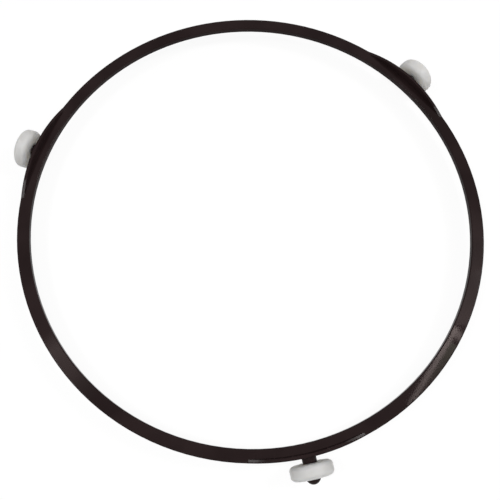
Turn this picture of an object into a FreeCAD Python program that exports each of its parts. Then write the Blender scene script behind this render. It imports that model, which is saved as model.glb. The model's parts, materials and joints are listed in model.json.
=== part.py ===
"""Microwave roller ring: a moulded support ring with three stub axles, each carrying a free-running roller.

Millimetres, +Z up. The origin is on the ring's axis, level with the floor that the rollers stand on.
"""
import FreeCAD
import Part

import math
import os

from FreeCAD import Vector

# Support ring: an angle section, a flat band with a web below its outer edge
RING_DIAMETER = 220.0
BAND_WIDTH = 5.7
BAND_THICKNESS = 2.7
WEB_THICKNESS = 1.8
WEB_HEIGHT = 6.8
OUTER_EDGE_RADIUS = 0.5
INNER_EDGE_RADIUS = 0.5
ROOT_RADIUS = 0.8

# Ears: the web carried up above the band in a low arc behind each axle
EAR_LENGTH = 51.5
EAR_HEIGHT = 3.6
EAR_DRAFT = 0.3

# Rollers
ROLLER_DIAMETER = 18.8
ROLLER_WIDTH = 6.0
ROLLER_EDGE_RADIUS = 2.0
BORE_DIAMETER = 5.6
BORE_CHAMFER = 0.3

# Stub axles: a boss that spaces the roller off, a journal and a domed snap head
AXLE_DROP = 3.0
BOSS_DIAMETER = 6.3
BOSS_LENGTH = 2.3
HEAD_DIAMETER = 6.2
HEAD_LENGTH = 2.45
HEAD_LAND = 0.3

# Fits
RUNNING_CLEARANCE = 0.08
END_PLAY = 0.2

# Where the rollers stand round the ring, in degrees from +X
ROLLERS = {"roller_front": 270.0, "roller_right": 30.0, "roller_left": 150.0}

# How finely the ears' curves are drawn
EAR_SECTIONS = 13
FLANK_POINTS = 7

UP = Vector(0, 0, 1)
ORIGIN = Vector(0, 0, 0)

ring_radius = RING_DIAMETER / 2
band_inner_radius = ring_radius - BAND_WIDTH
web_inner_radius = ring_radius - WEB_THICKNESS
axle_height = ROLLER_DIAMETER / 2
band_top = axle_height + AXLE_DROP
band_underside = band_top - BAND_THICKNESS
web_foot = band_top - WEB_HEIGHT
ear_angle = math.degrees(EAR_LENGTH / ring_radius)
boss_end = ring_radius + BOSS_LENGTH
roller_inner_face = boss_end + END_PLAY
roller_outer_face = roller_inner_face + ROLLER_WIDTH
head_start = roller_outer_face + END_PLAY


def straight_side(corner, start, end):
    """The side that follows a corner, as a plain line."""
    return Part.makeLine(start, end)


def rounded_wire(corners, draw_side=straight_side):
    """A closed outline in the XZ plane from corners given as (x, z, edge radius)."""
    points = [Vector(x, 0, z) for x, z, _ in corners]
    trims = []
    for i, (_, _, radius) in enumerate(corners):
        corner = points[i]
        if radius == 0:
            trims.append((corner, corner, corner))
            continue
        to_last = (points[i - 1] - corner).normalize()
        to_next = (points[(i + 1) % len(points)] - corner).normalize()
        half_angle = to_last.getAngle(to_next) / 2
        setback = radius / math.tan(half_angle)
        bulge = radius / math.sin(half_angle) - radius
        middle = corner + (to_last + to_next).normalize() * bulge
        trims.append((corner + to_last * setback, middle, corner + to_next * setback))
    edges = []
    for i, (start, middle, end) in enumerate(trims):
        if corners[i][2] > 0:
            edges.append(Part.Arc(start, middle, end).toShape())
        edges.append(draw_side(i, end, trims[(i + 1) % len(trims)][0]))
    return Part.Wire(edges)


def ring_section(rise):
    """The ring's section where its ear stands above the band by rise."""
    ear_foot = (web_inner_radius, band_top, 0)
    ear_head = (web_inner_radius + EAR_DRAFT, band_top + rise, 0)
    corners = [
        (ring_radius, band_top + rise, OUTER_EDGE_RADIUS),
        (ring_radius, web_foot, 0),
        (web_inner_radius, web_foot, 0),
        (web_inner_radius, band_underside, ROOT_RADIUS),
        (band_inner_radius, band_underside, 0),
        (band_inner_radius, band_top, INNER_EDGE_RADIUS),
        ear_foot,
        ear_head,
    ]

    def draw_side(corner, start, end):
        if corners[corner] == ear_foot:
            return flank(start, end)
        return straight_side(corner, start, end)

    return rounded_wire(corners, draw_side)


def flank(start, end):
    """The ear's inner side, which leaves the band level and arrives at the ear's top level."""
    points = []
    for i in range(FLANK_POINTS):
        share = i / (FLANK_POINTS - 1)
        wave = (1 - math.cos(math.pi * share)) / 2
        x = start.x + (end.x - start.x) * share
        z = start.z + (end.z - start.z) * wave
        points.append(Vector(x, 0, z))
    curve = Part.BSplineCurve()
    curve.interpolate(points)
    return curve.toShape()


def ear_stretch(angle):
    """The stretch of ring behind one axle, lofted through sections that rise and fall along it."""
    sections = []
    for i in range(EAR_SECTIONS):
        share = i / (EAR_SECTIONS - 1)
        rise = EAR_HEIGHT * (1 - (2 * share - 1) ** 2)
        wire = ring_section(rise)
        wire.rotate(ORIGIN, UP, angle + ear_angle * (share - 0.5))
        sections.append(wire)
    return Part.makeLoft(sections, True)


def plain_stretch(angle):
    """The level stretch of ring from one ear to the next, as the angle grows."""
    face = Part.Face(ring_section(0))
    face.rotate(ORIGIN, UP, angle + ear_angle / 2)
    return face.revolve(ORIGIN, UP, 360 / len(ROLLERS) - ear_angle)


def axle(angle):
    """Boss, journal and domed snap head, turned about a radial axis and rooted in the web."""
    boss = BOSS_DIAMETER / 2
    journal = BORE_DIAMETER / 2 - RUNNING_CLEARANCE
    head = HEAD_DIAMETER / 2
    root = ring_radius - WEB_THICKNESS / 2
    dome_start = head_start + HEAD_LAND
    dome_length = HEAD_LENGTH - HEAD_LAND
    tip = head_start + HEAD_LENGTH

    def point(along, r):
        return Vector(along, 0, axle_height + r)

    stem = Part.makePolygon([
        point(tip, 0),
        point(root, 0),
        point(root, boss),
        point(boss_end, boss),
        point(boss_end, journal),
        point(head_start, journal),
        point(head_start, head),
        point(dome_start, head),
    ])
    dome_radius = (head ** 2 + dome_length ** 2) / (2 * dome_length)
    half_turn = math.asin(head / dome_radius) / 2
    dome_centre = tip - dome_radius
    dome_middle = point(dome_centre + dome_radius * math.cos(half_turn), dome_radius * math.sin(half_turn))
    dome = Part.Arc(point(dome_start, head), dome_middle, point(tip, 0)).toShape()
    section = Part.Face(Part.Wire(stem.Edges + [dome]))
    shape = section.revolve(Vector(0, 0, axle_height), Vector(1, 0, 0), 360)
    shape.rotate(ORIGIN, UP, angle)
    return shape


def support_ring():
    """The one-piece moulding: level stretches, ears and axles."""
    body = None
    for angle in ROLLERS.values():
        for piece in (ear_stretch(angle), plain_stretch(angle), axle(angle)):
            body = body.fuse(piece) if body else piece
    return body.removeSplitter()


def roller(angle):
    """A plain wheel with rounded tread corners and a chamfered bore."""
    rim = ROLLER_DIAMETER / 2
    bore = BORE_DIAMETER / 2
    section = Part.Face(rounded_wire([
        (roller_inner_face, bore + BORE_CHAMFER, 0),
        (roller_inner_face, rim, ROLLER_EDGE_RADIUS),
        (roller_outer_face, rim, ROLLER_EDGE_RADIUS),
        (roller_outer_face, bore + BORE_CHAMFER, 0),
        (roller_outer_face - BORE_CHAMFER, bore, 0),
        (roller_inner_face + BORE_CHAMFER, bore, 0),
    ]))
    shape = section.revolve(ORIGIN, Vector(1, 0, 0), 360)
    shape.translate(UP * axle_height)
    shape.rotate(ORIGIN, UP, angle)
    return shape


os.makedirs("parts", exist_ok=True)
pieces = {"support_ring": support_ring()}
for name, angle in ROLLERS.items():
    pieces[name] = roller(angle)
for name, shape in pieces.items():
    shape.exportStep("parts/" + name + ".step")
    print(name, len(shape.Solids), shape.isValid(), round(shape.Volume, 1))
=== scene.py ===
"""Looks, light and camera of a microwave roller ring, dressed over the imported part.

Metres, in the part's own frame: +Z up, the origin on the ring's axis at the level of the floor.
"""
import json
import math

import bpy
from mathutils import Matrix, Vector


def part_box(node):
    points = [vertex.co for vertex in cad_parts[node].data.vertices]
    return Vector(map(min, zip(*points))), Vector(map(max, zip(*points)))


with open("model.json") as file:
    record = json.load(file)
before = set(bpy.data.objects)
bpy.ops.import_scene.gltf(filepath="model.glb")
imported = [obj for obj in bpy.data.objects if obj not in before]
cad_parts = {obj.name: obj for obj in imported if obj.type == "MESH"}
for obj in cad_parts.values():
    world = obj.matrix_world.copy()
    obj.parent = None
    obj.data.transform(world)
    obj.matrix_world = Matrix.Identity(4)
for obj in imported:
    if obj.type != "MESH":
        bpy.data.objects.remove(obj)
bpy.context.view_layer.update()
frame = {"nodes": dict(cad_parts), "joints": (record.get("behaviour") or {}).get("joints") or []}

# Camera: the photograph's own view, from close above the ring on the front roller's side
VIEW_AZIMUTH = math.radians(-15.45)
VIEW_ELEVATION = math.radians(71.94)
VIEW_ROLL = math.radians(3.18)
VIEW_DISTANCE = 0.2792
AIM_HEIGHT = 0.0124
AIM_TOWARDS_VIEWER = 0.0084
AIM_TO_RIGHT = -0.0034
LENS_MM = 42.84
SENSOR_MM = 36.0
SHIFT = (0.0126, -0.0376)
NEAREST_SEEN = 0.01

# Dome and background: radiance as plain light, and as it is seen
DOME_LEVEL = 0.265
BACKGROUND_LEVEL = 1.0

# Floor: its colour as plain light meets it, and the share of what is seen of it that follows the light
FLOOR_SIZE = 6.0
FLOOR_COLOUR = (0.80, 0.80, 0.80, 1)
FLOOR_SHADE = 0.12

# The light on the open floor, and the distances between which the floor goes over to plain white
FLOOR_LIT = 0.74
FLOOR_NEAR = 0.30
FLOOR_FAR = 0.80

# Lamps
WHITE = (1, 1, 1)
WARM = (1.0, 0.84, 0.80)
GREENISH = (0.96, 1.0, 0.78)
MIRRORED_HEIGHT = 1.0
STREAK_TURN = math.radians(-48.3)
CROSSBAR_TURN = math.radians(20.0)
GLOW_TURN = math.radians(-25.0)
SHEEN_TURN = math.radians(31.25)
LAMPS = {
    # Soft light from near the camera, from the left and from the right
    "fill": dict(place=(-0.04, -0.13, 0.40), size=(0.15, 0.15), watts=0.35, mirrored=False),
    "left": dict(place=(-0.46, 0.02, 0.92), size=(0.26, 0.20), watts=2.4, fade=(2, 0)),
    "right": dict(place=(0.615, -0.01, 0.82), size=(0.20, 0.30), watts=2.7, fade=(2, 0)),
    # The streak that the band mirrors at its lower right, the bar across its end and the pane beside it
    "strip": dict(place=(0.4024, -0.0660, MIRRORED_HEIGHT), size=(0.010, 0.195), watts=0.165,
                  turn=STREAK_TURN, colour=WARM, fade=(0.64, 1.36)),
    "crossbar": dict(place=(0.4735, -0.0175, MIRRORED_HEIGHT), size=(0.0140, 0.044), watts=0.045,
                     turn=CROSSBAR_TURN, colour=WARM, fade=(0.6, 1.4)),
    "pane": dict(place=(0.4112, -0.0822, MIRRORED_HEIGHT), size=(0.025, 0.138), watts=0.051,
                 turn=STREAK_TURN, colour=GREENISH, fade=(0, 2)),
    # The soft glows that the band mirrors on its right and at its lower left
    "glow": dict(place=(0.5458, 0.1209, MIRRORED_HEIGHT), size=(0.06, 0.265), watts=0.21,
                 turn=GLOW_TURN, colour=WARM, fade=(1.8, 0.2)),
    "sheen": dict(place=(-0.3235, 0.0763, MIRRORED_HEIGHT), size=(0.045, 0.1362), watts=0.070,
                  turn=SHEEN_TURN, colour=WARM, fade=(0, 2)),
    "sheen_end": dict(place=(-0.3681, 0.1495, MIRRORED_HEIGHT), size=(0.045, 0.0352), watts=0.0181,
                      turn=SHEEN_TURN, colour=WARM, fade=(2, 0)),
}

# Noise values between which a pattern comes in: over most of it, or at its peaks only
MIDDLE = (0.3, 0.7)
SCUFF_PEAKS = (0.60, 0.72)
DRAG_PEAKS = (0.62, 0.78)
SMEAR_PEAKS = (0.35, 0.75)
FINE_DETAIL = 2.0

# Ring: colours, and how strongly wear and drag marks show in colour and roughness
RING_DARK = (0.0178, 0.0102, 0.0103, 1)
RING_LIGHT = (0.0262, 0.0158, 0.0158, 1)
RING_SCUFF = (0.035, 0.031, 0.029, 1)
RING_ROUGHNESS = (0.030, 0.045)
RING_SPECULAR = 0.045
WEAR_COLOUR = 0.5
WEAR_ROUGHNESS = 0.25
DRAG_COLOUR = 0.12
DRAG_ROUGHNESS = 0.03

# Ring: scales of its patterns, how far in from the outer edge wear reaches, and bumps as depth and strength
RING_CLOUD_SCALE = 45.0
SPECKLE_SCALE = 900.0
DRAG_SCALE = 2600.0
DRAG_STRETCH = 40
PEEL_SCALE = 2200.0
WEAR_START = 0.0016
WEAR_FULL = 0.0002
PEEL_BUMP = (0.00004, 0.02)
DRAG_BUMP = (0.00002, 0.02)

# Rollers: colours, roughness and translucency
ROLLER_PALE = (0.785, 0.774, 0.746, 1)
ROLLER_SHADED = (0.725, 0.712, 0.682, 1)
ROLLER_GRIME = (0.330, 0.315, 0.290, 1)
ROLLER_ROUGHNESS = (0.42, 0.56)
ROLLER_SPECULAR = 0.35
SCATTER_WEIGHT = 1.0
SCATTER_RADIUS = (1.0, 0.95, 0.85)
SCATTER_SCALE = 0.016

# Rollers: scales of their patterns, and bumps as depth and strength
ROLLER_CLOUD_SCALE = 160.0
PORE_SCALE = 2600.0
MOULD_RINGS_RADIANS_PER_METRE = 9000.0
PORE_BUMP = (0.00003, 0.2)
MOULD_RING_BUMP = (0.00001, 0.1)

# Rollers: the running track below the rim and to each side of its middle, and the grime round the bore
TRACK_START = 0.0005
TRACK_FULL = 0.0001
TRACK_HALF_WIDTH = (0.0016, 0.0006)
TRACK_SMEAR = (0.03, 0.16)
TRACK_POLISH = 0.12
GRIME_RADIUS = (0.0044, 0.0028)
GRIME_COLOUR = 0.45

joints = {joint["child"]: joint for joint in frame["joints"]}
ring_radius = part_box("support_ring")[1].x


class Shader:
    """A material's node tree, with short calls to add and join nodes."""

    def __init__(self, name):
        self.material = bpy.data.materials.new(name)
        self.material.use_nodes = True
        self.tree = self.material.node_tree
        self.surface = self.tree.nodes["Principled BSDF"]

    def add(self, kind, inputs=(), **settings):
        """A node with its settings, and its inputs given by name or place as values or as other sockets."""
        node = self.tree.nodes.new(kind)
        for key, value in settings.items():
            setattr(node, key, value)
        for key, value in dict(inputs).items():
            self.put(node.inputs[key], value)
        return node

    def put(self, socket, value):
        """Sets a socket to a value, or joins another socket to it."""
        if isinstance(value, bpy.types.NodeSocket):
            self.tree.links.new(value, socket)
        else:
            socket.default_value = value

    def math(self, operation, a, b=0.0):
        return self.add("ShaderNodeMath", {0: a, 1: b}, operation=operation).outputs[0]

    def length(self, a, b):
        """The length of a vector with these two parts."""
        squares = self.math("ADD", self.math("MULTIPLY", a, a), self.math("MULTIPLY", b, b))
        return self.math("SQRT", squares)

    def noise(self, vector, scale, detail=3.0):
        node = self.add("ShaderNodeTexNoise", {"Vector": vector, "Scale": scale, "Detail": detail})
        return node.outputs["Fac"]

    def band(self, value, low, high, start=0.0, end=1.0):
        """The value taken smoothly from low..high to start..end."""
        inputs = {"Value": value, 1: low, 2: high, 3: start, 4: end}
        node = self.add("ShaderNodeMapRange", inputs, interpolation_type="SMOOTHSTEP")
        return node.outputs["Result"]

    def mix(self, share, a, b):
        """Colour b laid over colour a."""
        node = self.add("ShaderNodeMix", data_type="RGBA")
        self.put(node.inputs[0], share)
        self.put(node.inputs[6], a)
        self.put(node.inputs[7], b)
        return node.outputs[2]

    def bump(self, height, depth, strength, below=None):
        """A relief of this height pattern, on top of another relief where one is given."""
        inputs = {"Height": height, "Distance": depth, "Strength": strength}
        if below:
            inputs["Normal"] = below
        return self.add("ShaderNodeBump", inputs).outputs["Normal"]

    def vector(self, x, y, z):
        return self.add("ShaderNodeCombineXYZ", {0: x, 1: y, 2: z}).outputs[0]

    def split(self, vector):
        return self.add("ShaderNodeSeparateXYZ", {0: vector}).outputs

    def place(self):
        return self.add("ShaderNodeTexCoord").outputs["Object"]


def ring_plastic():
    """Dark brown glossy moulding, with drag marks along the ring and a worn outer edge."""
    shader = Shader("ring_plastic")
    place = shader.place()
    x, y, z = shader.split(place)
    reach = shader.length(x, y)
    turn = shader.math("ARCTAN2", y, x)
    along = shader.vector(reach, shader.math("MULTIPLY", turn, ring_radius / DRAG_STRETCH), z)

    cloud = shader.noise(place, RING_CLOUD_SCALE)
    speckle = shader.noise(place, SPECKLE_SCALE, FINE_DETAIL)
    drag = shader.noise(along, DRAG_SCALE, FINE_DETAIL)
    peel = shader.noise(place, PEEL_SCALE, FINE_DETAIL)

    edge = shader.band(reach, ring_radius - WEAR_START, ring_radius - WEAR_FULL)
    worn = shader.math("MULTIPLY", edge, shader.band(speckle, *SCUFF_PEAKS))
    marks = shader.band(drag, *DRAG_PEAKS)
    colour = shader.mix(shader.band(cloud, *MIDDLE), RING_DARK, RING_LIGHT)
    colour = shader.mix(shader.math("MULTIPLY", worn, WEAR_COLOUR), colour, RING_SCUFF)
    colour = shader.mix(shader.math("MULTIPLY", marks, DRAG_COLOUR), colour, RING_SCUFF)
    shader.put(shader.surface.inputs["Base Color"], colour)

    roughness = shader.band(cloud, *MIDDLE, *RING_ROUGHNESS)
    roughness = shader.math("ADD", roughness, shader.math("MULTIPLY", worn, WEAR_ROUGHNESS))
    roughness = shader.math("ADD", roughness, shader.math("MULTIPLY", marks, DRAG_ROUGHNESS))
    shader.put(shader.surface.inputs["Roughness"], roughness)
    shader.put(shader.surface.inputs["Specular IOR Level"], RING_SPECULAR)
    grain = shader.bump(peel, *PEEL_BUMP)
    shader.put(shader.surface.inputs["Normal"], shader.bump(drag, *DRAG_BUMP, grain))
    return shader.material


def roller_plastic(node):
    """Off-white low-friction plastic: a polished running track, faint mould rings and grime by the bore."""
    joint = joints[node]
    hub = Vector(joint["pos_m"])
    axis = Vector(joint["axis"])
    turn = math.atan2(axis.y, axis.x)
    rim = (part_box(node)[1].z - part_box(node)[0].z) / 2
    shader = Shader(node + "_plastic")
    own = shader.add("ShaderNodeMapping", {"Vector": shader.place()})
    own.inputs["Rotation"].default_value = (0, 0, -turn)
    own.inputs["Location"].default_value = -(Matrix.Rotation(-turn, 3, "Z") @ hub)
    place = own.outputs[0]
    along, y, z = shader.split(place)
    reach = shader.length(y, z)

    cloud = shader.noise(place, ROLLER_CLOUD_SCALE)
    pores = shader.noise(place, PORE_SCALE, FINE_DETAIL)
    tread = shader.band(reach, rim - TRACK_START, rim - TRACK_FULL)
    middle = shader.band(shader.math("ABSOLUTE", along), *TRACK_HALF_WIDTH)
    track = shader.math("MULTIPLY", tread, middle)
    bore = shader.band(reach, *GRIME_RADIUS)
    rings = shader.math("SINE", shader.math("MULTIPLY", reach, MOULD_RINGS_RADIANS_PER_METRE))

    colour = shader.mix(shader.band(cloud, *MIDDLE), ROLLER_SHADED, ROLLER_PALE)
    smear = shader.math("MULTIPLY", track, shader.band(cloud, *SMEAR_PEAKS, *TRACK_SMEAR))
    colour = shader.mix(smear, colour, ROLLER_GRIME)
    colour = shader.mix(shader.math("MULTIPLY", bore, GRIME_COLOUR), colour, ROLLER_GRIME)
    shader.put(shader.surface.inputs["Base Color"], colour)

    roughness = shader.band(pores, *MIDDLE, *ROLLER_ROUGHNESS)
    roughness = shader.math("SUBTRACT", roughness, shader.math("MULTIPLY", track, TRACK_POLISH))
    shader.put(shader.surface.inputs["Roughness"], roughness)
    shader.put(shader.surface.inputs["Specular IOR Level"], ROLLER_SPECULAR)
    shader.put(shader.surface.inputs["Subsurface Weight"], SCATTER_WEIGHT)
    shader.put(shader.surface.inputs["Subsurface Radius"], SCATTER_RADIUS)
    shader.put(shader.surface.inputs["Subsurface Scale"], SCATTER_SCALE)
    grain = shader.bump(pores, *PORE_BUMP)
    shader.put(shader.surface.inputs["Normal"], shader.bump(rings, *MOULD_RING_BUMP, grain))
    return shader.material


def seen_directly(tree):
    """1 for what the camera sees, straight or through gloss and glass, and 0 for plain light."""
    path = tree.nodes.new("ShaderNodeLightPath")
    seen = path.outputs["Is Camera Ray"]
    for ray in ("Is Glossy Ray", "Is Transmission Ray"):
        both = tree.nodes.new("ShaderNodeMath")
        both.operation = "MAXIMUM"
        tree.links.new(seen, both.inputs[0])
        tree.links.new(path.outputs[ray], both.inputs[1])
        seen = both.outputs[0]
    return seen


def floor_finish():
    """A pale floor that looks white, takes the object's shadow near it and is plain white far away."""
    shader = Shader("floor")
    shader.tree.nodes.remove(shader.surface)
    pale = shader.add("ShaderNodeBsdfDiffuse", {"Color": FLOOR_COLOUR})

    shade = shader.add("ShaderNodeBsdfDiffuse", {"Color": (FLOOR_SHADE, FLOOR_SHADE, FLOOR_SHADE, 1)})
    lift = shader.add("ShaderNodeEmission", {"Strength": BACKGROUND_LEVEL - FLOOR_SHADE * FLOOR_LIT})
    near = shader.add("ShaderNodeAddShader", {0: shade.outputs[0], 1: lift.outputs[0]})
    far = shader.add("ShaderNodeEmission", {"Strength": BACKGROUND_LEVEL})
    place = shader.add("ShaderNodeNewGeometry").outputs["Position"]
    reach = shader.add("ShaderNodeVectorMath", {0: place}, operation="LENGTH").outputs["Value"]
    away = shader.band(reach, FLOOR_NEAR, FLOOR_FAR)
    shown = shader.add("ShaderNodeMixShader", {0: away, 1: near.outputs[0], 2: far.outputs[0]})

    seen = seen_directly(shader.tree)
    both = shader.add("ShaderNodeMixShader", {0: seen, 1: pale.outputs[0], 2: shown.outputs[0]})
    shader.put(shader.tree.nodes["Material Output"].inputs["Surface"], both.outputs[0])
    return shader.material


def floor():
    """A square of floor under the object."""
    half = FLOOR_SIZE / 2
    corners = [(-half, -half, 0), (half, -half, 0), (half, half, 0), (-half, half, 0)]
    mesh = bpy.data.meshes.new("floor")
    mesh.from_pydata(corners, [], [(0, 1, 2, 3)])
    mesh.materials.append(floor_finish())
    plane = bpy.data.objects.new("floor", mesh)
    bpy.context.scene.collection.objects.link(plane)


def dome():
    """An even studio dome, white where it is seen directly."""
    world = bpy.data.worlds.new("studio")
    world.use_nodes = True
    tree = world.node_tree
    level = tree.nodes.new("ShaderNodeMapRange")
    tree.links.new(seen_directly(tree), level.inputs["Value"])
    level.inputs["To Min"].default_value = DOME_LEVEL
    level.inputs["To Max"].default_value = BACKGROUND_LEVEL
    tree.links.new(level.outputs["Result"], tree.nodes["Background"].inputs["Strength"])
    tree.nodes["Background"].inputs["Color"].default_value = (1, 1, 1, 1)
    bpy.context.scene.world = world


def softbox(name, place, size, watts, turn=None, colour=WHITE, fade=None, mirrored=True):
    """A flat lamp that looks at the origin, or straight down where it is given a turn about Z.

    A fade gives the light's share at the two ends of the lamp's own Y, first at -Y and then at +Y.
    A lamp that isn't mirrored gives light and stays out of reflections.
    """
    lamp = bpy.data.lights.new(name, "AREA")
    lamp.shape = "RECTANGLE"
    lamp.size, lamp.size_y = size
    lamp.energy = watts
    lamp.color = colour
    if fade:
        fade_lamp(lamp, fade)
    holder = bpy.data.objects.new(name, lamp)
    holder.location = place
    holder.visible_glossy = mirrored
    if turn is None:
        holder.rotation_euler = (-Vector(place)).to_track_quat("-Z", "Y").to_euler()
    else:
        holder.rotation_euler = (0, 0, turn)
    bpy.context.scene.collection.objects.link(holder)


def fade_lamp(lamp, fade):
    """Lets a lamp's light change evenly along its own Y."""
    lamp.use_nodes = True
    tree = lamp.node_tree
    face = tree.nodes.new("ShaderNodeNewGeometry")
    parts = tree.nodes.new("ShaderNodeSeparateXYZ")
    share = tree.nodes.new("ShaderNodeMapRange")
    share.inputs["To Min"].default_value, share.inputs["To Max"].default_value = fade
    tree.links.new(face.outputs["Parametric"], parts.inputs[0])
    tree.links.new(parts.outputs["Y"], share.inputs["Value"])
    tree.links.new(share.outputs["Result"], tree.nodes["Emission"].inputs["Strength"])


def camera():
    """The photograph's own view, rolled a little about its axis."""
    away = Vector((-math.sin(VIEW_AZIMUTH), math.cos(VIEW_AZIMUTH), 0))
    right = Vector((math.cos(VIEW_AZIMUTH), math.sin(VIEW_AZIMUTH), 0))
    back = Vector((0, 0, math.sin(VIEW_ELEVATION))) - away * math.cos(VIEW_ELEVATION)
    aim = Vector((0, 0, AIM_HEIGHT)) - away * AIM_TOWARDS_VIEWER + right * AIM_TO_RIGHT
    level = Matrix((right, back.cross(right), back)).transposed()
    rolled = level @ Matrix.Rotation(VIEW_ROLL, 3, "Z")
    lens = bpy.data.cameras.new("camera")
    lens.lens = LENS_MM
    lens.sensor_width = SENSOR_MM
    lens.shift_x, lens.shift_y = SHIFT
    lens.clip_start = NEAREST_SEEN
    eye = bpy.data.objects.new("camera", lens)
    eye.matrix_world = Matrix.Translation(aim + back * VIEW_DISTANCE) @ rolled.to_4x4()
    bpy.context.scene.collection.objects.link(eye)
    bpy.context.scene.camera = eye


def dress(node, material):
    """Gives a solid its finish."""
    slots = frame["nodes"][node].data.materials
    slots.clear()
    slots.append(material)


dress("support_ring", ring_plastic())
for node in joints:
    dress(node, roller_plastic(node))

floor()
dome()
for name, settings in LAMPS.items():
    softbox(name, **settings)
camera()

bpy.context.scene.view_settings.view_transform = "Standard"
